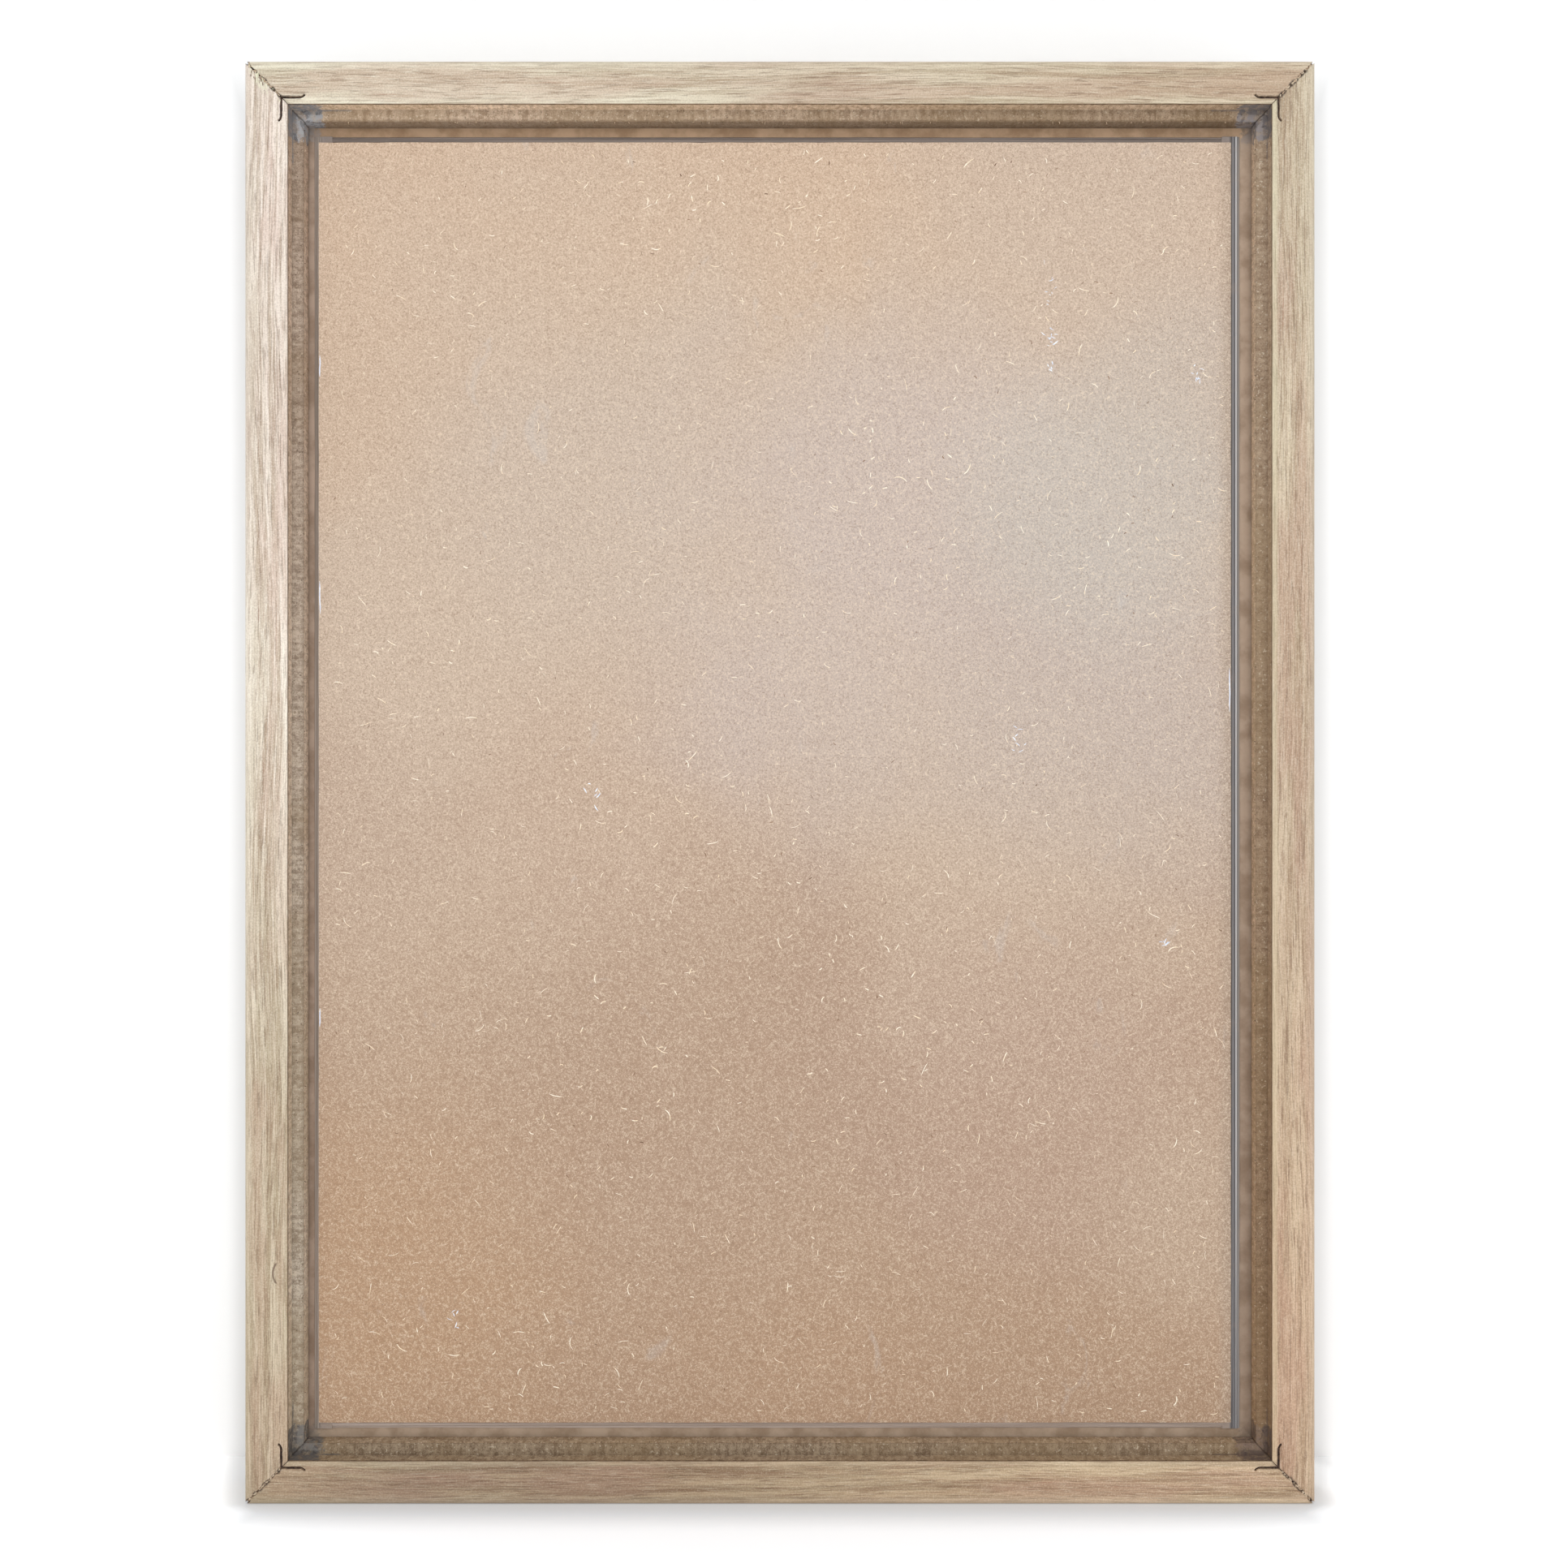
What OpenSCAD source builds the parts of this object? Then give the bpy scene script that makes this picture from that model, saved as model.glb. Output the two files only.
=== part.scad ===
// Floating frame: four mitred rails, each an MDF core wrapped in oak veneer,
// joined by V-nails. A picture panel is taped to the front of the rails' inner
// foot, so it floats inside the frame with a shadow gap round it. An MDF board,
// taped to the panel's back, fills the opening between the feet and stiffens it.
//
// Axes: X across the width, Z up. -Y is the back, which goes against the wall,
// and +Y is the picture side. Left and right are as seen from the back.
// The origin is the centre of the whole frame. Units are millimetres.

/* [Frame] */
// Outside width of the frame
frame_w = 287; // [200:1:600]
// Outside height of the frame
frame_h = 387; // [250:1:800]
// Depth of the frame from the wall to its front edge
frame_d = 20; // [18:0.5:30]
// Width of the rails' oak back face
back_face_w = 11.5; // [11:0.25:16]
// Width of the rails' oak front face
front_face_w = 6.5; // [5:0.25:8]
// Radius of the veneered long edges
edge_r = 0.9; // [0.7:0.05:1.5]
// Thickness of the oak veneer
veneer_t = 0.5; // [0.4:0.05:0.6]

/* [Foot] */
// How far the foot's back lies in front of the frame's back face
recess_d = 5; // [4:0.5:7]
// How far the foot reaches inwards from the oak back face
foot_w = 3.1; // [3:0.1:5]
// Thickness of the foot
foot_t = 5; // [4.5:0.5:6]

/* [Mitres] */
// Gap between two rails' cores, and between their veneers at the inside corner
mitre_gap = 0.06; // [0.02:0.01:0.1]
// Gap between two rails' veneers at the frame's outside corner
veneer_gap = 0.55; // [0.1:0.05:0.8]
// Radius of the sanded outside corners of the frame
corner_r = 1.2; // [0.8:0.1:1.4]

/* [V-nails] */
// Straight length of each leg
nail_leg = 4.8; // [4:0.1:6]
// Thickness of the nail's steel
nail_t = 0.45; // [0.3:0.05:0.5]
// Radius of the hook at the end of each leg
hook_r = 1.9; // [1.5:0.1:2.5]
// Angle that each hook turns outwards
hook_angle = 55; // [30:5:80]
// Height of the nails
nail_h = 7; // [5:0.5:7.5]
// How far each nail is driven below the rails' back face
nail_sink = 0.5; // [0.2:0.1:0.8]
// Distance of the nails' points from the frame's outside faces
nail_in = 9.8; // [9:0.1:10]

/* [Picture panel] */
// Gap between the front wall and the edge of the picture panel
shadow_gap = 4.5; // [3:0.25:5]
// Thickness of the hardboard panel
panel_t = 3; // [2:0.5:4]
// Thickness of the blank paper sheet on the front of the panel
sheet_t = 0.3; // [0.2:0.05:0.5]

/* [Backing board] */
// Gap left between the board's edges and the foot, all round
board_gap = 4.9; // [4:0.1:8]
// Thickness of the board
board_t = 3; // [2.5:0.5:4]
// How far the board sits to the left of the centre line
board_left = 1.4; // [0:0.1:1.5]

/* [Tapes] */
// Thickness of the foam tapes
tape_t = 1; // [0.8:0.1:1.2]
// Width of the tapes that hold the board
board_tape_w = 5; // [4:1:20]
// How far the board's tapes reach out beyond the board
board_tape_out = 2.6; // [1:0.1:2.8]
// How far the board's tapes sit to the left of the centre line
board_tape_left = 0.8; // [0:0.1:1]
// Width of the tapes that hold the panel on the foot
panel_tape_w = 3; // [2:0.25:3.25]
// How far the panel's tapes stop short of the foot's inner edge
panel_tape_in = 0.3; // [0.1:0.1:0.5]

/* [Hidden] */
$fn = 48;

foot_edge = back_face_w + foot_w;        // outside face to the foot's inner edge
foot_front = recess_d + foot_t;          // back face to the front of the foot
panel_edge = front_face_w + shadow_gap;  // outside face to the panel's edge
panel_w = frame_w - 2 * panel_edge;
panel_h = frame_h - 2 * panel_edge;
panel_back = foot_front + tape_t;        // back face to the back of the panel
board_back = foot_front - board_t;
board_w = frame_w - 2 * (foot_edge + board_gap);
board_h = frame_h - 2 * (foot_edge + board_gap);
board_tape_size = [board_w + 2 * board_tape_out, board_h + 2 * board_tape_out];
panel_tape_edge = foot_edge - panel_tape_in - panel_tape_w;  // outside face to the tape
panel_tape_size = [frame_w - 2 * panel_tape_edge, frame_h - 2 * panel_tape_edge];
tear = 0.1;                              // torn veneer on each side of a nail
slot_t = nail_t + 2 * tear;              // width of the nail's slot in the veneer
over = 1;                                // how far a cut runs past a surface

// ---------------------------------------------------------------- helpers

// Turns a depth from the back face into Y.
function depth(v) = v - frame_d / 2;

// A square from one corner to the opposite one.
module span(low, high) {
    translate(low) square(high - low);
}

// What rounding takes off a corner at p, whose material lies towards sign [sx, sy].
module corner_waste(p, r, sx, sy) {
    translate(p) mirror([sx < 0 ? 1 : 0, 0]) mirror([0, sy < 0 ? 1 : 0]) difference() {
        translate([-over, -over]) square(r + over);
        translate([r, r]) circle(r);
    }
}

// A box of size s whose centre in X and Z is c, and which runs from depth v to v + s.y.
module slab(s, c, v) {
    translate([c[0] - s[0] / 2, depth(v), c[1] - s[2] / 2]) cube(s);
}

// ---------------------------------------------------------------- rail section
// The section is drawn with X inwards from the outside face and Y forwards
// from the back face.

// The veneered part of the section, shrunk by inset on its veneered sides.
module wall_section(inset) {
    r = edge_r - inset;
    difference() {
        union() {
            span([inset, inset], [back_face_w, foot_front]);
            span([inset, inset], [front_face_w - inset, frame_d - inset]);
        }
        corner_waste([inset, inset], r, 1, 1);
        corner_waste([inset, frame_d - inset], r, 1, -1);
        corner_waste([front_face_w - inset, frame_d - inset], r, -1, -1);
    }
}

module core_section() {
    wall_section(veneer_t);
    span([front_face_w, recess_d], [foot_edge, foot_front]);
}

module veneer_section() {
    difference() {
        wall_section(0);
        core_section();
    }
}

// ---------------------------------------------------------------- rails

// The outline of a rail of outside length len, seen from the back. Its mitred
// ends leave a gap that narrows from gap at the outside corner to mitre_gap at
// the inside one. X runs along the rail and Y inwards from its outside face.
module mitre_outline(len, gap) {
    end = len / 2;
    tip = gap / 2 * sqrt(2);
    root = mitre_gap / 2 * sqrt(2);
    polygon([
        [-end + tip, 0], [end - tip, 0],
        [end - foot_edge - root, foot_edge], [-end + foot_edge + root, foot_edge]
    ]);
}

// The top rail of a frame that is len wide and whose outside face is at z = 0,
// with a child for its section.
module rail(len, gap) {
    intersection() {
        rotate([90, 0, 90]) translate([0, 0, -len / 2]) linear_extrude(len)
            translate([-frame_d / 2, 0]) rotate(-90) children();
        rotate([-90, 0, 0]) translate([0, 0, -frame_d]) linear_extrude(2 * frame_d)
            mitre_outline(len, gap);
    }
}

// Turns and moves a rail made for the top to one of the four sides.
module at_top() { translate([0, 0, frame_h / 2]) children(); }
module at_bottom() { rotate([0, 180, 0]) translate([0, 0, frame_h / 2]) children(); }
module at_right() { rotate([0, 90, 0]) translate([0, 0, frame_w / 2]) children(); }
module at_left() { rotate([0, -90, 0]) translate([0, 0, frame_w / 2]) children(); }

// A solid without the slots, t wide, that the V-nails cut in it.
module nailed(t) {
    difference() {
        children();
        corner_nails(t, -over, nail_h + nail_sink + over);
    }
}

// A solid whose outside corners, seen from the back, are sanded round.
module sanded() {
    difference() {
        children();
        for (sx = [0, 1], sz = [0, 1])
            mirror([sx, 0, 0]) mirror([0, 0, sz])
                translate([frame_w / 2, frame_d, frame_h / 2]) rotate([90, 0, 0])
                    linear_extrude(2 * frame_d) corner_waste([0, 0], corner_r, -1, -1);
    }
}

module core(len) {
    rail(len, mitre_gap) core_section();
}

module veneer(len) {
    rail(len, veneer_gap) veneer_section();
}

// ---------------------------------------------------------------- V-nails

// One leg in plan, from the nail's point along -X, with a hook that turns to +Y.
module nail_leg_plan(t) {
    reach = 2 * hook_r;  // beyond the hook's ring
    translate([-nail_leg, -t / 2]) square([nail_leg + t / 2, t]);
    translate([-nail_leg, hook_r]) intersection() {
        difference() {
            circle(hook_r + t / 2);
            circle(hook_r - t / 2);
        }
        // The wedge that holds the hook's angle.
        polygon([
            [0, 0], [0, -reach], [-reach * tan(hook_angle / 2), -reach],
            [-reach * sin(hook_angle), -reach * cos(hook_angle)]
        ]);
    }
}

// A whole nail in plan, with its point at the origin and its legs along -X and -Y.
module nail_plan(t) {
    nail_leg_plan(t);
    mirror([1, -1]) nail_leg_plan(t);
}

// Nails in the four corners, running from depth v to v + h.
module corner_nails(t, v, h) {
    for (sx = [0, 1], sz = [0, 1])
        mirror([sx, 0, 0]) mirror([0, 0, sz])
            translate([frame_w / 2 - nail_in, depth(v) + h, frame_h / 2 - nail_in])
                rotate([90, 0, 0]) linear_extrude(h) nail_plan(t);
}

module corner_v_nails() {
    color("dimgray") corner_nails(nail_t, nail_sink, nail_h);
}

// ---------------------------------------------------------------- rails, by side

module top_rail_core() { color("tan") nailed(nail_t) at_top() core(frame_w); }
module bottom_rail_core() { color("tan") nailed(nail_t) at_bottom() core(frame_w); }
module left_rail_core() { color("tan") nailed(nail_t) at_left() core(frame_h); }
module right_rail_core() { color("tan") nailed(nail_t) at_right() core(frame_h); }

module top_rail_veneer() { color("wheat") sanded() nailed(slot_t) at_top() veneer(frame_w); }
module bottom_rail_veneer() { color("wheat") sanded() nailed(slot_t) at_bottom() veneer(frame_w); }
module left_rail_veneer() { color("wheat") sanded() nailed(slot_t) at_left() veneer(frame_h); }
module right_rail_veneer() { color("wheat") sanded() nailed(slot_t) at_right() veneer(frame_h); }

// ---------------------------------------------------------------- panel and board

module picture_panel() {
    color("sienna") slab([panel_w, panel_t, panel_h], [0, 0], panel_back);
}

module picture_sheet() {
    color("whitesmoke") slab([panel_w, sheet_t, panel_h], [0, 0], panel_back + panel_t);
}

module backing_board() {
    color("burlywood") slab([board_w, board_t, board_h], [-board_left, 0], board_back);
}

// ---------------------------------------------------------------- foam tapes
// Each set has four strips round a rectangle whose outside size is [w, h]. The
// side strips run its full height, and the end strips fit between them.

// The strip on the left (side = -1) or right (side = 1) of a rectangle at x.
module side_strip(outside, strip_w, x, side) {
    slab([strip_w, tape_t, outside[1]], [x + side * (outside[0] - strip_w) / 2, 0], foot_front);
}

// The strip at the bottom (side = -1) or top (side = 1) of a rectangle at x.
module end_strip(outside, strip_w, x, side) {
    slab([outside[0] - 2 * strip_w, tape_t, strip_w], [x, side * (outside[1] - strip_w) / 2],
         foot_front);
}

module board_side(side) {
    color("gray") side_strip(board_tape_size, board_tape_w, -board_tape_left, side);
}
module board_end(side) {
    color("gray") end_strip(board_tape_size, board_tape_w, -board_tape_left, side);
}
module panel_side(side) {
    color("dimgray") side_strip(panel_tape_size, panel_tape_w, 0, side);
}
module panel_end(side) {
    color("dimgray") end_strip(panel_tape_size, panel_tape_w, 0, side);
}

module board_tape_top() { board_end(1); }
module board_tape_bottom() { board_end(-1); }
module board_tape_left() { board_side(-1); }
module board_tape_right() { board_side(1); }

module panel_tape_top() { panel_end(1); }
module panel_tape_bottom() { panel_end(-1); }
module panel_tape_left() { panel_side(-1); }
module panel_tape_right() { panel_side(1); }

// ---------------------------------------------------------------- nodes

top_rail_core();
bottom_rail_core();
left_rail_core();
right_rail_core();
top_rail_veneer();
bottom_rail_veneer();
left_rail_veneer();
right_rail_veneer();
corner_v_nails();
backing_board();
board_tape_top();
board_tape_bottom();
board_tape_left();
board_tape_right();
panel_tape_top();
panel_tape_bottom();
panel_tape_left();
panel_tape_right();
picture_panel();
picture_sheet();
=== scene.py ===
"""The looks of the floating frame: oak, raw MDF, ink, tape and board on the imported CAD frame."""

import math
import random

import bmesh
import bpy
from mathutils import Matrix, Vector, noise


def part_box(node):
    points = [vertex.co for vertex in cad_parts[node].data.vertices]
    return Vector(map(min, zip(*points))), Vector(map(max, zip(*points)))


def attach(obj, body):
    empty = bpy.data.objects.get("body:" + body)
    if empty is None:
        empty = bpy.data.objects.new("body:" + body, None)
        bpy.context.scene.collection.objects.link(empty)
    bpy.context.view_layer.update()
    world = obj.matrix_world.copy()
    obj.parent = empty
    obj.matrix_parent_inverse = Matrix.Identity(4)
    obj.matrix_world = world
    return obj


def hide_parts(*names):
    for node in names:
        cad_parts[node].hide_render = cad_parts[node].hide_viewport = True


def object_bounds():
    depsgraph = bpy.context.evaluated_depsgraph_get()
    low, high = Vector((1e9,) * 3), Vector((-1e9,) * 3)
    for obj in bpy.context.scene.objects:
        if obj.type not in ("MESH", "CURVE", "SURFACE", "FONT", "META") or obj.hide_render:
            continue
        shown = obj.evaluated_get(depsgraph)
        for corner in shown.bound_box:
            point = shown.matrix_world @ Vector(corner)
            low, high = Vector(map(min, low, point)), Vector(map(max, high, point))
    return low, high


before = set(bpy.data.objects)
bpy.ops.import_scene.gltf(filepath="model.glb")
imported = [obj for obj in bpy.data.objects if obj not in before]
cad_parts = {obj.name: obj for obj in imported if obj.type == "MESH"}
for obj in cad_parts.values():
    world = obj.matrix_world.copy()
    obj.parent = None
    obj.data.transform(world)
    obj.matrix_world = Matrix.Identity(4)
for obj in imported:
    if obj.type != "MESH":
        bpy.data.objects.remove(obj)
CAD_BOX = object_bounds()

# ---------------------------------------------------------------- sizes, in metres
MM = 0.001
SIDES = ("top", "bottom", "left", "right")
# Painted shade along the ledge's inner rim, its strength set side by side.
RIM_SHADE_FORCE = {"top": 0.6, "bottom": 0.15, "left": 0.3, "right": 0.1}     # the ledge's dark inner rim
# Painted light on the foot's inner face, which stands in shade, set side by side.
FACE_PAINTED_LIGHT = {"top": 1.0, "bottom": 1.65, "left": 2.1, "right": 2.1}       # the foot's inner face
MDF_SOFTNESS = {"top": 0.09, "bottom": 0.09, "left": 0.09, "right": 0.13}  # larger is fainter
PIT_FORCE = {"top": 0.6, "bottom": 0.55, "left": 0.7, "right": 0.35}      # the ledge's dark pits
COARSE_GRAIN = {"top": 1.0, "bottom": 0.9, "left": 0.8, "right": 1.35}   # 1 is the usual grain
GRAIN_SOFTNESS = {"top": 0.095, "bottom": 0.065, "left": 0.088, "right": 0.145}  # larger is fainter
LIP_FORCE = {"top": 0.15, "bottom": 0.22, "left": 0.08, "right": 0.40}   # the oak's pale inner lip
# Drifts of tone along the oak: centre and reach as shares of the half length, and a factor.
OAK_DRIFTS = {
    "top": ((0.05, 0.35, (0.89, 0.85, 0.84)),),
    "bottom": ((-0.15, 0.75, (0.92, 0.90, 0.88)), (-0.95, 0.3, (1.22, 1.26, 1.20))),
    "left": ((0.14, 0.5, (1.18, 1.22, 1.27)), (-0.95, 0.3, (0.95, 0.91, 0.91))),
    "right": ((-0.1, 0.6, (0.96, 0.96, 0.97)),),
}
LOW, HIGH = Vector(CAD_BOX[0]), Vector(CAD_BOX[1])
HALF_W, HALF_H = HIGH.x, HIGH.z
BACK_Y, FRONT_Y = LOW.y, HIGH.y

VENEER_LOW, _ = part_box("top_rail_veneer")
CORE_LOW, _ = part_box("top_rail_core")
BACK_FACE = HALF_H - VENEER_LOW.z        # width of the oak back face
FOOT_EDGE = HALF_H - CORE_LOW.z          # outside face to the foot's inner edge
NAIL_POINT = 9.8 * MM                    # the nails' points, in from the outside faces
NAIL_LEG = 5.6 * MM                      # how far each leg runs, with its hook
FOOT_THICK = 5 * MM
LEDGE_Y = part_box("board_tape_top")[0].y - FOOT_THICK   # the back of the foot

INK_REACH = 8.0 * MM                     # how far the ink runs along each rail
WICK_REACH = 7.0 * MM                    # how far ink creeps on along the crease
# Painted light: the step wall is made paler than the ledge, against the shade it stands in.
STEP_WALL_PAINTED_LIGHT = {"top": 1.3, "bottom": 1.15, "left": 1.42, "right": 1.3}
# Painted shadow on the floor round the frame's foot and on the wall beside it.
CONTACT_SHADE = 0.64                     # how dark the floor is where the frame stands
CONTACT_REACH = 20 * MM
SIDE_SHADE = 0.80                        # how dark the wall is just beside the frame
FLOOR_GLOW = (0.30, 0.335, 0.37)         # makes up for the warm light the oak throws on it
FLOOR_GLOW_BEHIND = (0.330, 0.335, 0.342)
WALL_GLOW = (0.093, 0.094, 0.096, 1)
CAMERA_DISTANCE = 500 * MM               # from the back face
WALL_Y = FRONT_Y + 16 * MM
WORLD_LIGHT = 0.47                       # how strongly the surroundings light the frame
WORLD_SEEN = 0.93                        # how bright they look where they show
SEED = 7
SUNK = 0.03 * MM                         # how far a fibre lies into the face under it
PALE, DARK, CHALK = 1, 2, 3              # the board's slots for its fibres and scuffs
BOARD_FIBRES = ((PALE, 1700), (DARK, 420))
# Pale scuffs on the board: place as a share of the half width and half height, spread, flecks.
SCUFFS = ((0.515, 0.625, 1.5 * MM, 12), (0.515, 0.58, 0.8 * MM, 5), (0.51, 0.70, 3.0 * MM, 9),
          (0.79, 0.572, 1.3 * MM, 10), (0.45, 0.06, 1.6 * MM, 8), (0.73, -0.225, 1.3 * MM, 6),
          (-0.36, -0.02, 3 * MM, 6), (-0.62, -0.75, 2 * MM, 6))
# Dried glue along the board's edge: which edge, height as a share, length.
GLUE_TRACES = ((-1, 0.585, 6 * MM), (-1, 0.26, 9 * MM), (1, 0.13, 12 * MM), (-1, -0.33, 5 * MM))


# ---------------------------------------------------------------- colour

def srgb(r, g, b):
    """A linear RGBA colour from 0 to 255 display values."""
    def linear(c):
        c = c / 255
        return c / 12.92 if c <= 0.04045 else ((c + 0.055) / 1.055) ** 2.4
    return (linear(r), linear(g), linear(b), 1.0)


# Painted highlight, reflection and shade stripes along the right tape: where each starts, in mm out
# from the board's edge, and its tone.
RIGHT_PAINTED_LIGHT_BANDS = ((0.0, srgb(88, 80, 76)), (1.05, srgb(152, 150, 152)), (1.55, srgb(88, 84, 84)),
               (1.9, srgb(214, 212, 212)), (2.35, srgb(110, 104, 100)), (2.75, srgb(146, 138, 130)))


# ---------------------------------------------------------------- node helpers

class Nodes:
    """Short calls for building one material's node tree."""

    def __init__(self, name):
        self.material = bpy.data.materials.new(name)
        self.material.use_nodes = True
        self.tree = self.material.node_tree
        self.tree.nodes.clear()
        self.output = self.add("ShaderNodeOutputMaterial")
        coords = self.add("ShaderNodeTexCoord")
        self.position = coords.outputs["Object"]

    def add(self, kind, **settings):
        node = self.tree.nodes.new(kind)
        for key, value in settings.items():
            setattr(node, key, value)
        return node

    def put(self, socket, value):
        """Links a socket, or sets a plain value."""
        if isinstance(value, bpy.types.NodeSocket):
            self.tree.links.new(value, socket)
        else:
            socket.default_value = value

    def math(self, operation, a, b=0.0, clamp=False):
        node = self.add("ShaderNodeMath", operation=operation, use_clamp=clamp)
        for socket, value in zip(node.inputs, (a, b)):
            self.put(socket, value)
        return node.outputs[0]

    def times(self, a, b):
        return self.math("MULTIPLY", a, b)

    def plus(self, a, b, clamp=False):
        return self.math("ADD", a, b, clamp)

    def minus(self, a, b):
        return self.math("SUBTRACT", a, b)

    def larger(self, a, b):
        return self.math("MAXIMUM", a, b)

    def smaller(self, a, b):
        return self.math("MINIMUM", a, b)

    def size(self, a):
        return self.math("ABSOLUTE", a)

    def ramp(self, value, low, high):
        """0 where value is at low, 1 where it is at high, smooth between."""
        node = self.add("ShaderNodeMapRange", interpolation_type="SMOOTHSTEP")
        for key, v in (("Value", value), ("From Min", low), ("From Max", high)):
            self.put(node.inputs[key], v)
        return node.outputs[0]

    def mix(self, factor, a, b, blend="MIX"):
        node = self.add("ShaderNodeMix", data_type="RGBA", blend_type=blend)
        self.put(node.inputs["Factor"], factor)
        self.put(node.inputs[6], a)
        self.put(node.inputs[7], b)
        return node.outputs[2]

    def lay(self, colour, tone, mask, force):
        """Lays a tone over a colour where the mask is, as strongly as the force says."""
        return self.mix(self.times(mask, force), colour, tone)

    def evenly(self, scale, offset=(0, 0, 0)):
        """The position, scaled alike in all directions, then moved."""
        return self.scaled((scale, scale, scale), offset)

    def scaled(self, scale, offset=(0, 0, 0), turn=0.0, source=None):
        """The position, or another vector, turned about Y, then stretched and moved."""
        vector = source or self.position
        if turn:
            turned = self.add("ShaderNodeMapping")
            self.put(turned.inputs["Vector"], vector)
            turned.inputs["Rotation"].default_value = (0, turn, 0)
            vector = turned.outputs[0]
        node = self.add("ShaderNodeMapping")
        self.put(node.inputs["Vector"], vector)
        node.inputs["Scale"].default_value = scale
        node.inputs["Location"].default_value = offset
        return node.outputs[0]

    def noise(self, vector, scale=1.0, detail=2.0, rough=0.5, distort=0.0):
        node = self.add("ShaderNodeTexNoise")
        self.put(node.inputs["Vector"], vector)
        for key, v in (("Scale", scale), ("Detail", detail), ("Roughness", rough),
                       ("Distortion", distort)):
            node.inputs[key].default_value = v
        return node.outputs["Fac"]

    def voronoi(self, vector):
        node = self.add("ShaderNodeTexVoronoi")
        self.put(node.inputs["Vector"], vector)
        node.inputs["Scale"].default_value = 1.0
        return node.outputs["Distance"]

    def split(self):
        node = self.add("ShaderNodeSeparateXYZ")
        self.put(node.inputs[0], self.position)
        return node.outputs

    def bump(self, height, depth, strength=1.0, under=None):
        node = self.add("ShaderNodeBump")
        node.inputs["Strength"].default_value = strength
        node.inputs["Distance"].default_value = depth
        self.put(node.inputs["Height"], height)
        if under is not None:
            self.put(node.inputs["Normal"], under)
        return node.outputs[0]

    def surface(self, colour, roughness, normal=None, metallic=0.0, specular=0.3):
        shader = self.add("ShaderNodeBsdfPrincipled")
        self.put(shader.inputs["Base Color"], colour)
        self.put(shader.inputs["Roughness"], roughness)
        self.put(shader.inputs["Metallic"], metallic)
        self.put(shader.inputs["Specular IOR Level"], specular)
        if normal is not None:
            self.put(shader.inputs["Normal"], normal)
        self.put(self.output.inputs["Surface"], shader.outputs[0])
        return self.material

    def insets(self):
        """Distance in from the side faces and from the top and bottom faces."""
        x, _, z = self.split()
        return (self.minus(HALF_W, self.size(x)),
                self.minus(HALF_H, self.size(z)))


# ---------------------------------------------------------------- shared masks

def ink_mask(n, reach_share=1.0):
    """Irregular touch-up ink in the four inner corners, and the ink that has crept on."""
    side, end = n.insets()
    _, y, _ = n.split()
    jitter = n.minus(n.noise(n.evenly(380), 1, 5, 0.65), 0.5)
    reach = n.plus(n.larger(side, end), n.times(jitter, 7.0 * MM))
    limit = BACK_FACE + INK_REACH * reach_share
    patch = n.ramp(reach, limit + 0.4 * MM, limit - 0.4 * MM)
    near = n.smaller(side, end)
    off = n.plus(n.minus(near, BACK_FACE), n.times(jitter, 0.5 * MM))
    deep = n.minus(y, LEDGE_Y)
    crease = n.math("SQRT", n.plus(n.times(off, off), n.times(deep, deep)))
    thin = n.ramp(crease, 0.42 * MM, 0.2 * MM)
    wander = n.noise(n.evenly(60, (9, 2, 4)), 1, 1)
    creep_end = n.plus(BACK_FACE + INK_REACH, n.times(wander, 2 * WICK_REACH))
    creep = n.ramp(n.minus(creep_end, reach), 0.0, 2 * MM)
    return n.larger(patch, n.times(n.times(thin, creep), 0.7))


def inked(n, colour, mask, force):
    """Lays the ink over a colour: each corner has its own shade, with darker strokes in it."""
    x, _, z = n.split()
    right, upper = n.ramp(x, -MM, MM), n.ramp(z, -MM, MM)
    lower_ink = n.mix(right, srgb(128, 124, 120), srgb(138, 117, 103))
    upper_ink = n.mix(right, srgb(170, 171, 174), srgb(146, 139, 138))
    ink = n.mix(upper, lower_ink, upper_ink)
    blot = n.noise(n.evenly(430, (2, 8, 4)), 1, 5, 0.65, 1.2)
    ink = n.lay(ink, srgb(66, 60, 64), n.ramp(blot, 0.49, 0.40), 0.55)
    side, end = n.insets()
    from_oak = n.minus(n.smaller(side, end), BACK_FACE)
    wave = n.times(n.minus(blot, 0.5), 2.4 * MM)
    from_oak = n.plus(from_oak, wave)
    stroke = n.ramp(n.size(n.minus(from_oak, 0.6 * MM)), 0.9 * MM, 0.5 * MM)
    ink = n.lay(ink, srgb(62, 56, 58), stroke, 0.45)
    thin = n.noise(n.evenly(560, (6, 1, 3)), 1, 4, 0.6)
    lifted = n.times(n.ramp(thin, 0.46, 0.62), 0.5)
    cover = n.times(n.minus(1.0, lifted), force)
    return n.lay(colour, ink, mask, cover)


def mitre_line(n, reach, width):
    """A stained, broken line along each mitre, strong out to reach from the outside corner."""
    side, end = n.insets()
    shiver = n.noise(n.evenly(900), 1, 3, 0.6)
    wobble = n.times(n.minus(shiver, 0.5), 0.7 * MM)
    off = n.size(n.plus(n.minus(side, end), wobble))
    breadth = n.times(n.ramp(n.noise(n.evenly(420, (4, 4, 9)), 1, 3), 0.35, 0.65), width)
    line = n.ramp(off, n.plus(breadth, 0.34 * MM), n.times(breadth, 0.35))
    along = n.larger(side, end)
    strong = n.ramp(along, reach + 0.5 * MM, reach - 0.3 * MM)
    patchy = n.ramp(n.noise(n.evenly(620, (3, 1, 2)), 1, 3), 0.35, 0.46)
    force = n.plus(n.times(strong, patchy), 0.26, clamp=True)
    return n.times(line, force)


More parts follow.
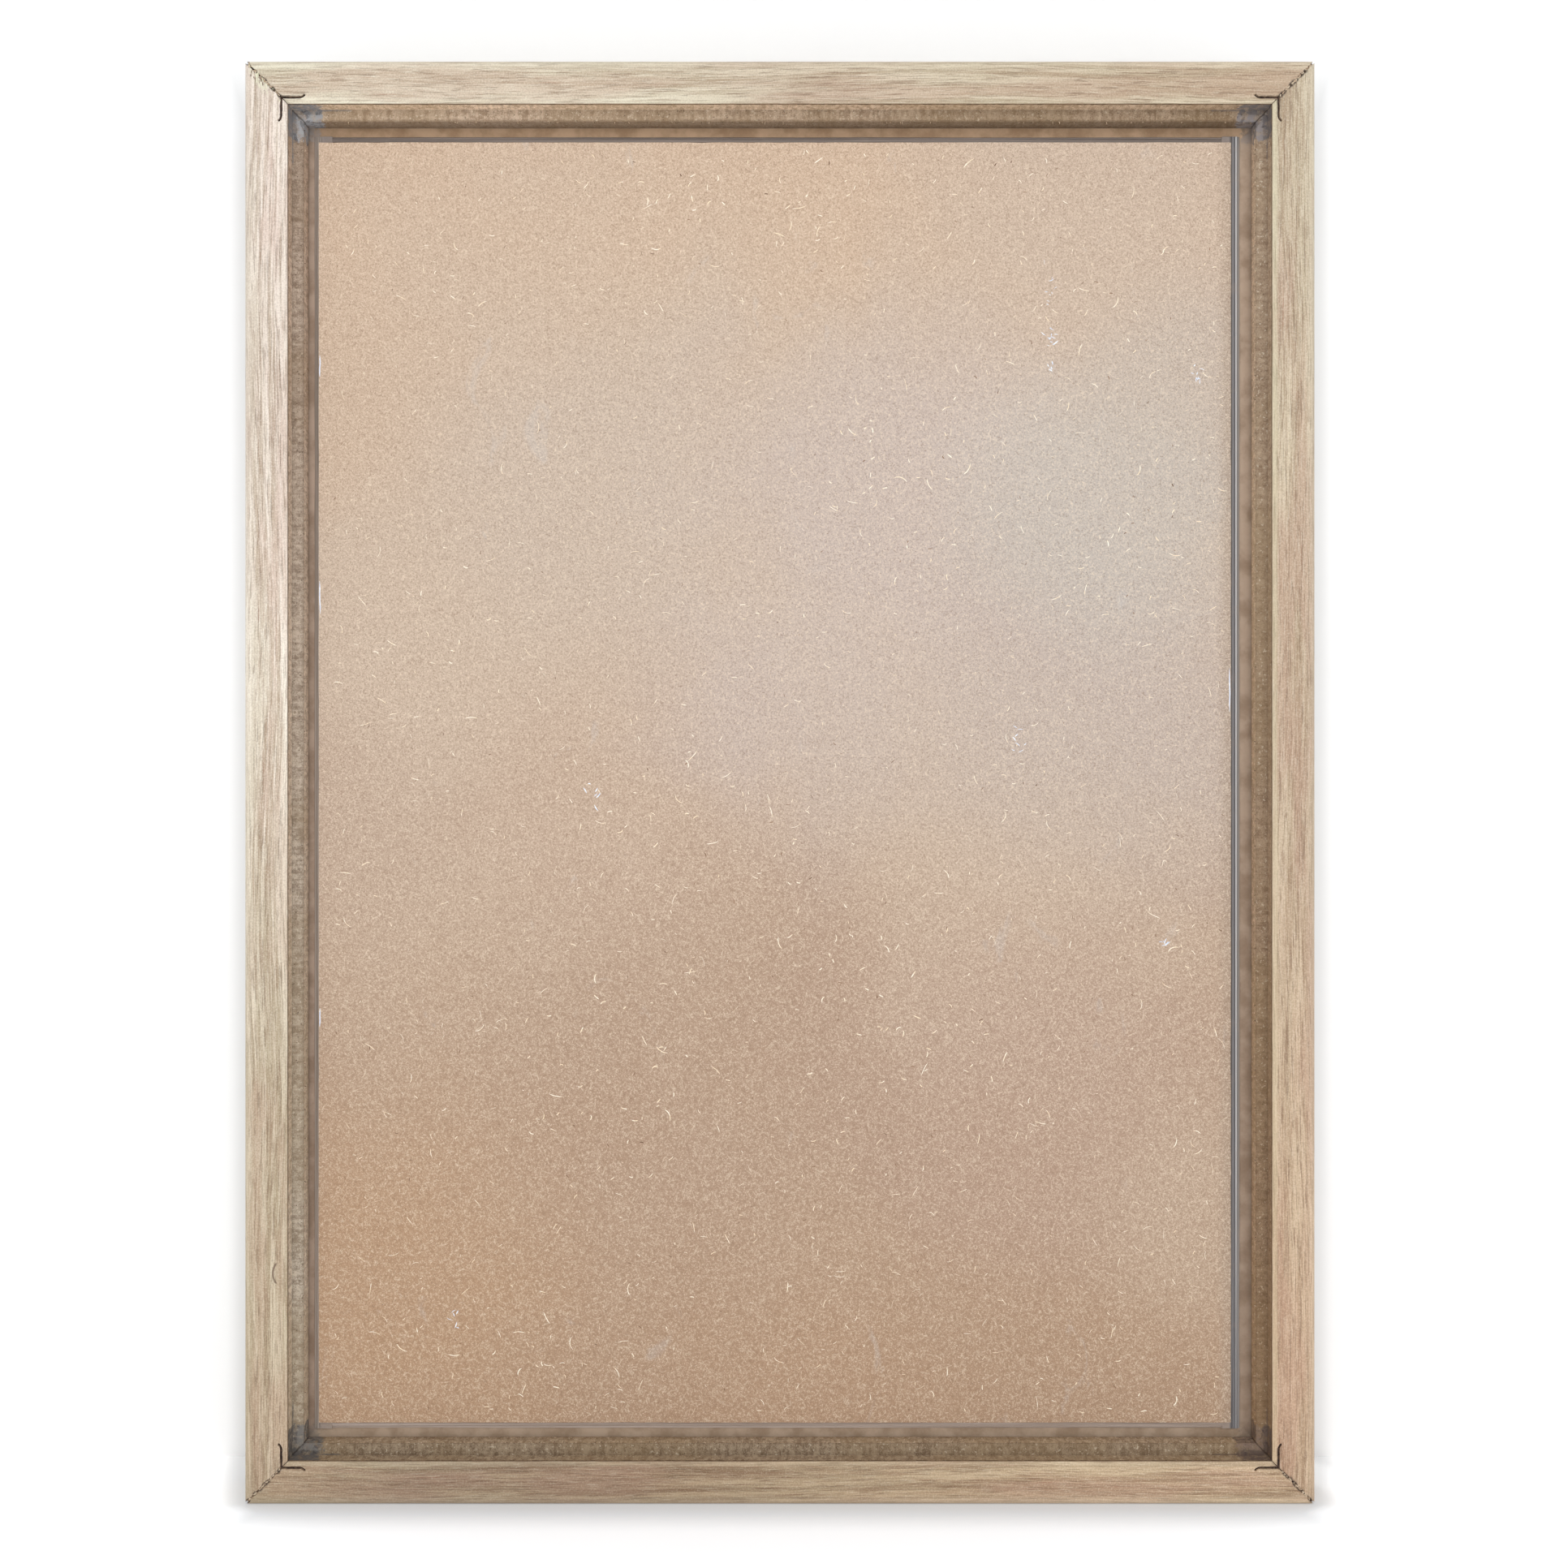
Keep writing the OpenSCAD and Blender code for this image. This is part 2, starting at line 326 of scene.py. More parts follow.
def nail_stain(n):
    """Dark, patchy staining in the oak along the nails' legs."""
    side, end = n.insets()
    patchy = n.ramp(n.noise(n.evenly(760, (8, 5, 2)), 1, 3, 0.6), 0.38, 0.62)
    mask = 0.0
    for across, along in ((side, end), (end, side)):
        off = n.size(n.minus(across, NAIL_POINT))
        leg = n.ramp(off, 0.75 * MM, 0.3 * MM)
        start = n.ramp(along, NAIL_POINT - 0.8 * MM, NAIL_POINT)
        stop = n.ramp(along, NAIL_POINT + NAIL_LEG, NAIL_POINT + NAIL_LEG - MM)
        mask = n.larger(mask, n.times(leg, n.times(start, stop)))
    return n.times(mask, patchy)


# ---------------------------------------------------------------- materials

def fade_along(n, along, colour, first, last):
    """Shades a colour along a rail, from first at its left or bottom end to last at the other."""
    x, _, z = n.split()
    place, half = (x, HALF_W) if along == "x" else (z, HALF_H)
    tone = n.mix(n.ramp(place, -half, half), (*first, 1), (*last, 1))
    return n.mix(1.0, colour, tone, "MULTIPLY")


def torn_zone(n, colour):
    """Torn, chalky grain under the upper left mitre, on the left rail."""
    x, _, z = n.split()
    side = n.plus(x, HALF_W)
    end = n.minus(HALF_H, z)
    below = n.minus(end, side)
    zone = n.times(n.ramp(below, 0.0, 0.3 * MM), n.ramp(below, 4.4 * MM, 2.2 * MM))
    zone = n.times(zone, n.times(n.ramp(side, MM, 1.8 * MM), n.ramp(side, 7.5 * MM, 5 * MM)))
    shred = n.noise(n.scaled((1500, 600, 330), (3, 2, 8)), 1, 3, 0.6, 1.5)
    colour = n.lay(colour, srgb(228, 223, 198), zone, n.ramp(shred, 0.50, 0.56))
    return n.lay(colour, srgb(128, 112, 92), zone, n.ramp(shred, 0.46, 0.41))


def dent(n, cx, cz, radius, reach, width):
    """A shallow crescent mark: part of a ring round (cx, cz), within reach of its height."""
    x, _, z = n.split()
    dx, dz = n.minus(x, cx), n.minus(z, cz)
    far = n.math("SQRT", n.plus(n.times(dx, dx), n.times(dz, dz)))
    ring = n.ramp(n.size(n.minus(far, radius)), width, width * 0.4)
    part = n.ramp(n.size(dz), reach, reach * 0.8)
    left = n.ramp(dx, 0.0, -0.1 * MM)
    return n.times(n.times(ring, part), left)


def oak(name, along, light, dark, fade, offset, side_name):
    """Pale oak veneer with its grain along X or Z; light and dark are its two tones."""
    n = Nodes(name)
    coarse = COARSE_GRAIN[side_name]

    def grain(cross, run):
        return (run, cross, cross) if along == "x" else (cross, cross, run)

    # The grain lines sway together, so they stay side by side along the rail.
    sway = n.noise(n.scaled(grain(22, 8), offset), 1, 1)
    sideways = n.add("ShaderNodeCombineXYZ")
    amount = n.times(n.minus(sway, 0.5), 8 * MM)
    n.put(sideways.inputs["Z" if along == "x" else "X"], amount)
    swayed = n.add("ShaderNodeVectorMath", operation="ADD")
    n.put(swayed.inputs[0], n.position)
    n.put(swayed.inputs[1], sideways.outputs[0])
    swayed = swayed.outputs[0]

    def lines(cross, run, place, detail, rough, distort):
        return n.noise(n.scaled(grain(cross, run), place, 0.0, swayed), 1, detail, rough, distort)

    turned = (offset[1], offset[2], offset[0])
    broad = lines(330 / coarse, 7, offset, 3, 0.55, 0.25)
    streak = lines(1250 / coarse, 30, offset, 4, 0.66, 0.35)
    short = lines(1900, 80, turned, 3, 0.6, 0.5)
    fibre = lines(4200, 190, offset, 2, 0.6, 0.0)
    pore = lines(2900, 120, turned, 2, 0.6, 0.3)
    hue = lines(120, 16, (offset[2], offset[0], offset[1]), 3, 0.5, 0.0)
    grit = n.noise(n.evenly(2300, turned), 1, 2, 0.6)

    tone = n.plus(n.times(broad, 0.42), n.times(streak, 0.58))
    soft = GRAIN_SOFTNESS[side_name]
    colour = n.mix(n.ramp(tone, 0.5 - soft, 0.5 + soft), dark, light)
    green = n.mix(0.5, light, srgb(208, 200, 172))
    pink = n.mix(0.5, dark, srgb(216, 182, 166))
    colour = n.lay(colour, green, n.ramp(hue, 0.5, 0.62), 0.4)
    colour = n.lay(colour, pink, n.ramp(hue, 0.52, 0.40), 0.6)
    colour = n.lay(colour, srgb(244, 236, 220), n.ramp(fibre, 0.5, 0.72), 0.35)
    colour = n.lay(colour, srgb(158, 130, 108), n.ramp(short, 0.53, 0.63), 0.55)
    pores = n.ramp(pore, 0.57, 0.66)
    colour = n.lay(colour, srgb(128, 104, 84), pores, 0.5)
    fleck = n.ramp(n.noise(n.scaled(grain(1500, 60), (7, 3, 5)), 1, 2), 0.66, 0.72)
    colour = n.lay(colour, srgb(160, 112, 88), fleck, 0.4)
    colour = n.lay(colour, srgb(140, 118, 98), n.ramp(grit, 0.50, 0.36), 0.22)
    colour = n.lay(colour, srgb(244, 234, 216), n.ramp(grit, 0.52, 0.66), 0.22)

    side, end = n.insets()
    _, y, _ = n.split()
    near = n.smaller(side, end)
    wavy = n.times(n.minus(broad, 0.5), 1.2 * MM)
    lip = n.ramp(n.plus(near, wavy), BACK_FACE - 1.7 * MM, BACK_FACE - 0.9 * MM)
    lip_tone = srgb(220, 212, 180) if side_name == "right" else srgb(232, 221, 198)
    colour = n.lay(colour, lip_tone, lip, LIP_FORCE[side_name])
    outer = n.ramp(n.plus(near, wavy), 3.2 * MM, 0.8 * MM)
    colour = n.lay(colour, srgb(238, 228, 208), outer, 0.22)
    worn = n.ramp(n.plus(near, wavy), 1.3 * MM, 0.3 * MM)
    colour = n.lay(colour, srgb(196, 182, 164), worn, 0.35)
    colour = fade_along(n, along, colour, *fade)
    x, _, z = n.split()
    share = n.times(x, 1 / HALF_W) if along == "x" else n.times(z, 1 / HALF_H)
    for centre, reach, factor in OAK_DRIFTS[side_name]:
        off = n.size(n.minus(share, centre))
        drifted = n.mix(1.0, colour, (*factor, 1), "MULTIPLY")
        colour = n.mix(n.ramp(off, reach, 0.0), colour, drifted)
    line = mitre_line(n, NAIL_POINT, 1.0 * MM)
    colour = n.lay(colour, srgb(64, 49, 41), line, 0.95)
    colour = n.lay(colour, srgb(92, 72, 60), nail_stain(n), 0.6)
    colour = torn_zone(n, colour)
    mark = dent(n, 4.2 * MM - HALF_W + 8.0 * MM, -0.68 * HALF_H, 4.6 * MM, 3.0 * MM, 0.38 * MM)
    colour = n.lay(colour, srgb(120, 98, 82), mark, 0.85)
    cut_edge = n.times(n.ramp(near, BACK_FACE - 0.06 * MM, BACK_FACE - 0.02 * MM),
                      n.ramp(y, BACK_Y + 0.05 * MM, BACK_Y + 0.1 * MM))
    colour = n.lay(colour, srgb(104, 82, 62), cut_edge, 0.8)

    height = n.minus(n.times(fibre, 0.5), n.plus(pores, mark))
    normal = n.bump(height, 0.06 * MM, 0.8)
    normal = n.bump(streak, 0.14 * MM, 0.6, normal)
    roughness = n.plus(0.55, n.times(pores, 0.25))
    return n.surface(colour, roughness, normal, specular=0.25)


def raw_mdf(name, along, light, dark, fade, offset, side_name):
    """Sawn MDF: mottled, fuzzy, streaked across the rail and inked in the corners, with painted
    shade at the ledge's inner rim and painted light on the step wall and the foot's inner face.
    """
    n = Nodes(name)
    across = (900, 300, 170) if along == "x" else (170, 300, 900)
    fuzz = n.noise(n.evenly(2600, offset), 1, 4, 0.65)
    mottle = n.noise(n.evenly(620, offset), 1, 5, 0.65)
    saw = n.noise(n.scaled(across, offset), 1, 3, 0.6, 0.4)
    drift = n.noise(n.evenly(34, offset), 1, 2)
    tone = n.plus(n.times(fuzz, 0.35), n.times(mottle, 0.35))
    tone = n.plus(tone, n.times(saw, 0.3))
    soft = MDF_SOFTNESS[side_name]
    colour = n.mix(n.ramp(tone, 0.5 - soft, 0.5 + soft), dark, light)
    colour = n.mix(n.ramp(drift, 0.4, 0.62), colour, n.mix(0.35, colour, srgb(150, 124, 92)))
    pits = n.ramp(n.voronoi(n.evenly(1100, offset)), 0.30, 0.12)
    rare = n.ramp(n.noise(n.evenly(420, (5, 5, 5)), 1, 2), 0.48, 0.60)
    colour = n.lay(colour, srgb(92, 72, 56), n.times(pits, rare), PIT_FORCE[side_name])
    tufts = n.ramp(n.noise(n.evenly(1500, (2, 7, 1)), 1, 2), 0.62, 0.70)
    colour = n.lay(colour, srgb(226, 208, 184), tufts, 0.45)
    side, end = n.insets()
    _, y, _ = n.split()
    near = n.smaller(side, end)
    # Painted light on the step wall, side by side.
    step_wall = n.ramp(y, LEDGE_Y - 0.1 * MM, LEDGE_Y - 0.5 * MM)
    wall = n.mix(1.0, colour, (STEP_WALL_PAINTED_LIGHT[side_name],) * 3 + (1,), "MULTIPLY")
    colour = n.mix(step_wall, colour, wall)
    # Painted shade: the ledge darkens towards its inner rim, as in a crease.
    rough_edge = n.plus(near, n.times(n.minus(mottle, 0.5), 2.4 * MM))
    rim = n.ramp(rough_edge, FOOT_EDGE - 0.8 * MM, FOOT_EDGE - 0.1 * MM)
    colour = n.lay(colour, srgb(108, 84, 62), rim, RIM_SHADE_FORCE[side_name])
    # Painted light: the foot's inner face is lightened against the shade it stands in.
    inner_face = n.ramp(y, LEDGE_Y + 0.1 * MM, LEDGE_Y + 0.6 * MM)
    lifted = n.mix(1.0, colour, (FACE_PAINTED_LIGHT[side_name],) * 3 + (1,), "MULTIPLY")
    colour = n.mix(inner_face, colour, lifted)
    colour = fade_along(n, along, colour, *fade)
    ink = ink_mask(n)
    colour = inked(n, colour, ink, 0.95)
    # A dark line on the core just under the veneer's edge: partly glue, partly painted shade under
    # the veneer's lip.
    glue_and_shade = n.ramp(y, BACK_Y + 1.1 * MM, BACK_Y + 0.8 * MM)
    colour = n.lay(colour, srgb(92, 72, 54), glue_and_shade, 0.7)
    dashes = n.ramp(n.noise(n.evenly(700, (1, 9, 6)), 1, 3), 0.44, 0.56)
    under_veneer = n.ramp(y, BACK_Y + 0.7 * MM, BACK_Y + 0.6 * MM)
    colour = n.mix(under_veneer, colour, n.mix(dashes, srgb(70, 54, 46), srgb(176, 148, 120)))
    on_ledge = n.minus(1.0, step_wall)
    line = n.times(mitre_line(n, FOOT_EDGE, 0.3 * MM), on_ledge)
    colour = n.lay(colour, srgb(58, 46, 38), line, 0.6)
    height = n.plus(n.times(fuzz, 0.7), n.times(mottle, 0.6))
    normal = n.bump(height, 0.22 * MM, 0.8)
    roughness = n.minus(0.92, n.times(ink, 0.3))
    return n.surface(colour, roughness, normal, specular=0.15)


def board_mdf():
    """Sanded MDF, warm at the top left and bottom, greyer and pinker at the upper right."""
    n = Nodes("board_mdf")
    x, _, z = n.split()
    cloud = n.noise(n.evenly(11, (4, 2, 9)), 1, 3, 0.5, 0.6)
    height_share = n.times(z, 1 / (2 * HALF_H))
    wander = n.plus(height_share, n.times(n.minus(cloud, 0.5), 0.35))
    colour = n.mix(n.ramp(wander, -0.42, 0.14), srgb(182, 151, 124), srgb(209, 188, 168))
    top = n.ramp(wander, 0.26, 0.47)
    colour = n.lay(colour, srgb(214, 186, 160), top, 0.8)

    def patch(cx, cz, radius, tint, force):
        """A soft round drift of colour at a place on the board."""
        dx = n.minus(x, cx * HALF_W)
        dz = n.minus(z, cz * HALF_H)
        far = n.math("SQRT", n.plus(n.times(dx, dx), n.times(dz, dz)))
        far = n.plus(far, n.times(n.minus(cloud, 0.5), radius * 1.2))
        return n.times(n.ramp(far, radius, radius * 0.25), force), tint

    for mask, tint in (
        patch(-0.88, 0.55, 60 * MM, srgb(209, 182, 157), 0.6),
        patch(0.60, 0.78, 85 * MM, srgb(206, 187, 170), 0.6),
        patch(-0.30, -0.02, 60 * MM, srgb(202, 176, 156), 0.35),
        patch(-0.85, -0.03, 48 * MM, srgb(190, 164, 144), 0.45),
        patch(0.30, 0.33, 95 * MM, srgb(207, 192, 184), 0.8),
        patch(0.55, 0.10, 75 * MM, srgb(199, 185, 176), 0.7),
        patch(0.62, 0.42, 55 * MM, srgb(203, 197, 188), 0.6),
        patch(0.80, 0.57, 45 * MM, srgb(200, 190, 181), 0.5),
        patch(-0.40, 0.40, 60 * MM, srgb(206, 190, 176), 0.45),
        patch(0.45, -0.42, 80 * MM, srgb(190, 163, 146), 0.55),
        patch(-0.70, -0.75, 75 * MM, srgb(192, 156, 122), 0.6),
        patch(0.05, -0.90, 60 * MM, srgb(188, 155, 126), 0.5),
        patch(-0.15, -0.46, 80 * MM, srgb(181, 153, 131), 0.5),
        patch(0.86, -0.63, 50 * MM, srgb(203, 181, 159), 0.55),
    ):
        colour = n.mix(mask, colour, tint)

    colour = n.mix(1.0, colour, (0.89, 0.87, 0.86, 1), "MULTIPLY")
    edge_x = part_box("backing_board")[1].x
    shadow = n.ramp(x, edge_x - 4.5 * MM, edge_x - 0.4 * MM)
    colour = n.lay(colour, srgb(168, 148, 130), shadow, 0.55)
    speck = n.noise(n.evenly(1900), 1, 3, 0.7)
    fine = n.noise(n.evenly(3900, (1, 6, 2)), 1, 2, 0.7)
    felt = n.noise(n.scaled((1500, 1500, 900), (3, 3, 7), 0.6), 1, 3, 0.6, 2.0)
    grain = n.plus(n.times(speck, 0.4), n.times(fine, 0.35))
    grain = n.plus(grain, n.times(felt, 0.25))
    colour = n.lay(colour, srgb(238, 219, 196), n.ramp(grain, 0.50, 0.60), 0.46)
    colour = n.lay(colour, srgb(140, 112, 90), n.ramp(grain, 0.49, 0.40), 0.46)
    for turn in (0.3, 1.1, 1.9, 2.7):
        hair = n.noise(n.scaled((2900, 1200, 620), (10 * turn, 2, 3), turn), 1, 2, 0.5, 0.5)
        colour = n.lay(colour, srgb(240, 222, 198), n.ramp(hair, 0.62, 0.72), 0.32)
        colour = n.lay(colour, srgb(138, 110, 88), n.ramp(hair, 0.34, 0.26), 0.26)
    dots = n.ramp(n.voronoi(n.evenly(430)), 0.10, 0.03)
    chance = n.ramp(n.noise(n.evenly(160, (8, 8, 1)), 1, 1), 0.60, 0.68)
    colour = n.lay(colour, srgb(96, 74, 60), n.times(dots, chance), 0.6)
    smear = n.ramp(n.noise(n.scaled((70, 70, 38), (3, 4, 8)), 1, 4, 0.6, 1.2), 0.66, 0.74)
    colour = n.lay(colour, srgb(206, 206, 206), smear, 0.16)
    normal = n.bump(grain, 0.08 * MM, 0.55)
    return n.surface(colour, 0.82, normal, specular=0.2)


def hardboard():
    """Smooth brown hardboard with a faint sheen, painted lighter or darker strip by strip, inked in
    the corners.
    """
    n = Nodes("hardboard_brown")
    cloudy = n.noise(n.evenly(130), 1, 4, 0.6)
    fine = n.noise(n.evenly(1800), 1, 3, 0.6)
    light, dark = srgb(204, 178, 154), srgb(172, 145, 120)
    colour = n.mix(n.ramp(cloudy, 0.35, 0.65), dark, light)
    colour = n.lay(colour, srgb(196, 172, 150), n.ramp(fine, 0.5, 0.7), 0.2)
    # Painted light and shade: the side strips and the end strips that show in the gap are each made
    # lighter or darker for the light that reaches them.
    across = fade_along(n, "x", colour, (0.90, 0.91, 0.96), (0.77, 0.775, 0.78))
    across = fade_along(n, "z", across, (0.90, 0.89, 0.89), (1.03, 1.03, 1.03))
    end_strips_painted_light = fade_along(n, "z", colour, (0.98, 1.02, 1.04), (1.13, 1.03, 0.89))
    side, end = n.insets()
    at_end = n.ramp(n.minus(side, end), -0.5 * MM, 0.5 * MM)
    colour = n.mix(at_end, across, end_strips_painted_light)
    colour = inked(n, colour, ink_mask(n, 0.8), 0.5)
    normal = n.bump(fine, 0.03 * MM, 0.4)
    return n.surface(colour, 0.48, normal, specular=0.4)


def foam_tape(name, light, dark, along, bands=(), ends=None):
    """Grey foam tape with fine lines along its length and painted highlight and shade stripes where
    bands are given; ends tones a side strip above and below.
    """
    n = Nodes(name)
    lines_scale = (12, 900, 2300) if along == "x" else (2300, 900, 12)
    lines = n.noise(n.scaled(lines_scale), 1, 2, 0.6)
    cells = n.voronoi(n.evenly(4200))
    dust = n.noise(n.evenly(160), 1, 4, 0.6)
    colour = n.mix(n.ramp(lines, 0.4, 0.6), dark, light)
    x, _, z = n.split()
    # The painted highlight and shade stripes fade out towards the bottom.
    crisp = n.plus(n.times(n.ramp(z, -0.9 * HALF_H, -0.5 * HALF_H), 0.55), 0.25)
    for start, shade in bands:
        step = n.ramp(x, start - 0.05 * MM, start + 0.05 * MM)
        colour = n.lay(colour, shade, step, crisp)
    if ends:
        low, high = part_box("backing_board")
        inside = n.times(n.ramp(x, high.x + 0.8 * MM, high.x), n.ramp(x, low.x - 0.4 * MM, low.x))
        over = n.times(n.ramp(z, high.z, high.z + 0.1 * MM), inside)
        under = n.times(n.ramp(z, low.z, low.z - 0.1 * MM), inside)
        colour = n.mix(under, n.mix(over, colour, ends[0]), ends[1])
    colour = n.lay(colour, srgb(164, 150, 138), n.ramp(dust, 0.52, 0.7), 0.25)
    normal = n.bump(cells, 0.04 * MM, 0.5)
    normal = n.bump(lines, 0.1 * MM, 0.5, normal)
    return n.surface(colour, 0.42, normal, specular=0.5)


def nail_steel():
    """Dark spring steel with dull scale."""
    n = Nodes("nail_steel")
    scale = n.noise(n.scaled((2200, 700, 2200)), 1, 4, 0.65)
    colour = n.mix(n.ramp(scale, 0.4, 0.65), srgb(44, 33, 30), srgb(92, 70, 60))
    normal = n.bump(scale, 0.04 * MM, 0.6)
    roughness = n.plus(0.4, n.times(scale, 0.3))
    return n.surface(colour, roughness, normal, metallic=0.7, specular=0.4)


def paper():
    """Blank off-white art paper with a fine felt tooth."""
    n = Nodes("paper_sheet")
    tooth = n.noise(n.evenly(900), 1, 4, 0.6)
    tone = n.noise(n.evenly(25), 1, 3)
    colour = n.mix(n.ramp(tone, 0.25, 0.75), srgb(240, 237, 229), srgb(242, 240, 233))
    colour = n.lay(colour, srgb(222, 218, 209), n.ramp(tooth, 0.45, 0.3), 0.25)
    normal = n.bump(tooth, 0.12 * MM, 0.7)
    return n.surface(colour, 0.9, normal, specular=0.15)


def flat_tone(name, light, dark, scale):
    """A simple mottled matt finish for fibres and chips."""
    n = Nodes(name)
    mottle = n.noise(n.evenly(scale), 1, 3)
    colour = n.mix(n.ramp(mottle, 0.4, 0.6), dark, light)
    return n.surface(colour, 0.8, n.bump(mottle, 0.02 * MM, 0.4), specular=0.2)


# ---------------------------------------------------------------- mesh helpers

def make_object(name, bm, materials):
    mesh = bpy.data.meshes.new(name)
    bmesh.ops.recalc_face_normals(bm, faces=bm.faces)
    bm.to_mesh(mesh)
    bm.free()
    for material in materials:
        mesh.materials.append(material)
    piece = bpy.data.objects.new(name, mesh)
    bpy.context.scene.collection.objects.link(piece)
    return piece


def bevelled(piece, width):
    modifier = piece.modifiers.new("soft_edges", "BEVEL")
    modifier.width = width
    modifier.segments = 2
    modifier.limit_method = "ANGLE"
    modifier.angle_limit = math.radians(50)
    return piece


def grid_slab(bm, low, high, step, edge_wave, bow):
    """A closed slab: big faces are grids, the outline wavers and the face bows a little."""
    columns = max(2, round((high.x - low.x) / step))
    rows = max(2, round((high.z - low.z) / step))
    centre = (low + high) / 2

    def point(i, j, y):
        x = low.x + (high.x - low.x) * i / columns
        z = low.z + (high.z - low.z) * j / rows
        edge = i in (0, columns) or j in (0, rows)
        waver = noise.noise(Vector((x, 0.3, z)) * 160) * edge_wave if edge else 0
        x -= math.copysign(abs(waver), x - centre.x) if i in (0, columns) else 0
        z -= math.copysign(abs(waver), z - centre.z) if j in (0, rows) else 0
        lift = abs(noise.noise(Vector((x, 1.7, z)) * 14)) * bow
        toward_middle = 1 if y < centre.y else -1
        return bm.verts.new((x, y + toward_middle * lift, z))

    layers = []
    for y in (low.y, high.y):
        layers.append([[point(i, j, y) for j in range(rows + 1)] for i in range(columns + 1)])
    for layer in layers:
        for i in range(columns):
            for j in range(rows):
                corners = (layer[i][j], layer[i + 1][j], layer[i + 1][j + 1], layer[i][j + 1])
                bm.faces.new(corners)
    rim = [(i, 0) for i in range(columns)] + [(columns, j) for j in range(rows)]
    rim += [(i, rows) for i in range(columns, 0, -1)] + [(0, j) for j in range(rows, 0, -1)]
    for k, (i, j) in enumerate(rim):
        p, q = rim[(k + 1) % len(rim)]
        back, front = layers
        bm.faces.new((back[i][j], back[p][q], front[p][q], front[i][j]))


def tube(bm, points, radius, slot, taper=0.35):
    """A closed three-sided fibre along points, thinner at its ends."""
    rings = []
    last = len(points) - 1
    for k, p in enumerate(points):
        ahead = points[min(k + 1, last)] - points[max(k - 1, 0)]
        across = Vector((-ahead.z, 0, ahead.x)).normalized()
        r = radius * (taper if k in (0, last) else 1)
        rings.append([bm.verts.new(p + across * r), bm.verts.new(p - across * r),
                      bm.verts.new(p + Vector((0, -0.4 * r, 0)))])
    made = []
    for a, b in zip(rings, rings[1:]):
        for k in range(3):
            made.append(bm.faces.new((a[k], a[(k + 1) % 3], b[(k + 1) % 3], b[k])))
    made.append(bm.faces.new(rings[0]))
    made.append(bm.faces.new(rings[-1]))
    for face in made:
        face.material_index = slot


def curl(start, angle, length, bend, count=6):
    """Points along a gently bent line that lies flat against a back face."""
    points = [start.copy()]
    for _ in range(count - 1):
        step = length / (count - 1)
        points.append(points[-1] + Vector((math.cos(angle), 0, math.sin(angle))) * step)
        angle += bend / (count - 1)
    return points


# ---------------------------------------------------------------- pieces

def build_board(body):
    """The MDF backing board with its stray fibres, bristles and a few pale scuffs."""
    low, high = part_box("backing_board")
    bm = bmesh.new()
    grid_slab(bm, low, high, 4 * MM, 0.18 * MM, 0.06 * MM)
    draw = random.Random(SEED)
    margin = 2.5 * MM
    for kind, count in BOARD_FIBRES:
        for _ in range(count):
            start = Vector((draw.uniform(low.x + margin, high.x - margin), low.y,
                            draw.uniform(low.z + margin, high.z - margin)))
            length = draw.uniform(0.7, 1.9) * MM
            if kind == PALE and draw.random() < 0.20:
                length = draw.uniform(2.0, 3.9) * MM
            if kind == DARK:
                length = draw.uniform(0.4, 1.3) * MM
            radius = draw.uniform(0.08, 0.15) * MM
            start.y += SUNK
            points = curl(start, draw.uniform(0, 2 * math.pi), length, draw.uniform(-1.6, 1.6))
            widest = max(abs(p.x) for p in points)
            if widest < high.x - 0.5 * MM:
                tube(bm, points, radius, kind)
    for across, up, spread, count in SCUFFS:
        for _ in range(count):
            start = Vector((across * HALF_W + draw.gauss(0, spread * 0.45), low.y + SUNK,
                            up * HALF_H + draw.gauss(0, spread)))
            points = curl(start, draw.uniform(0, 3.1), draw.uniform(0.6, 2.0) * MM,
                          draw.uniform(-1, 1), 4)
            tube(bm, points, draw.uniform(0.11, 0.2) * MM, CHALK)
    for edge_x, up, length in GLUE_TRACES:
        edge = low.x if edge_x < 0 else high.x
        points = [Vector((edge, low.y, up * HALF_H + length * (k / 5 - 0.5))) for k in range(6)]
        for p in points:
            p.x += -edge_x * (0.25 + draw.uniform(0, 0.2)) * MM
        tube(bm, points, 0.17 * MM, CHALK, 0.2)
    fibre = flat_tone("pale_fibre", srgb(255, 247, 230), srgb(245, 227, 198), 600)
    bark = flat_tone("dark_fibre", srgb(150, 118, 92), srgb(112, 84, 64), 600)
    chalk = flat_tone("pale_trace", srgb(246, 249, 255), srgb(222, 228, 242), 700)
    piece = make_object("backing_board_mesh", bm, [board_mdf(), fibre, bark, chalk])
    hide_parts("backing_board")
    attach(piece, body)


def build_panel(body):
    """The hardboard picture panel, with its edges a little uneven from the saw."""
    low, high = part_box("picture_panel")
    bm = bmesh.new()
    grid_slab(bm, low, high, 5 * MM, 0.12 * MM, 0.0)
    piece = bevelled(make_object("picture_panel_mesh", bm, [hardboard()]), 0.15 * MM)
    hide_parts("picture_panel")
    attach(piece, body)


def build_sheet(body):
    """The blank sheet on the picture side."""
    low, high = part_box("picture_sheet")
    bm = bmesh.new()
    grid_slab(bm, low, high, 5 * MM, 0.1 * MM, 0.0)
    piece = bevelled(make_object("picture_sheet_mesh", bm, [paper()]), 0.05 * MM)
    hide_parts("picture_sheet")
    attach(piece, body)


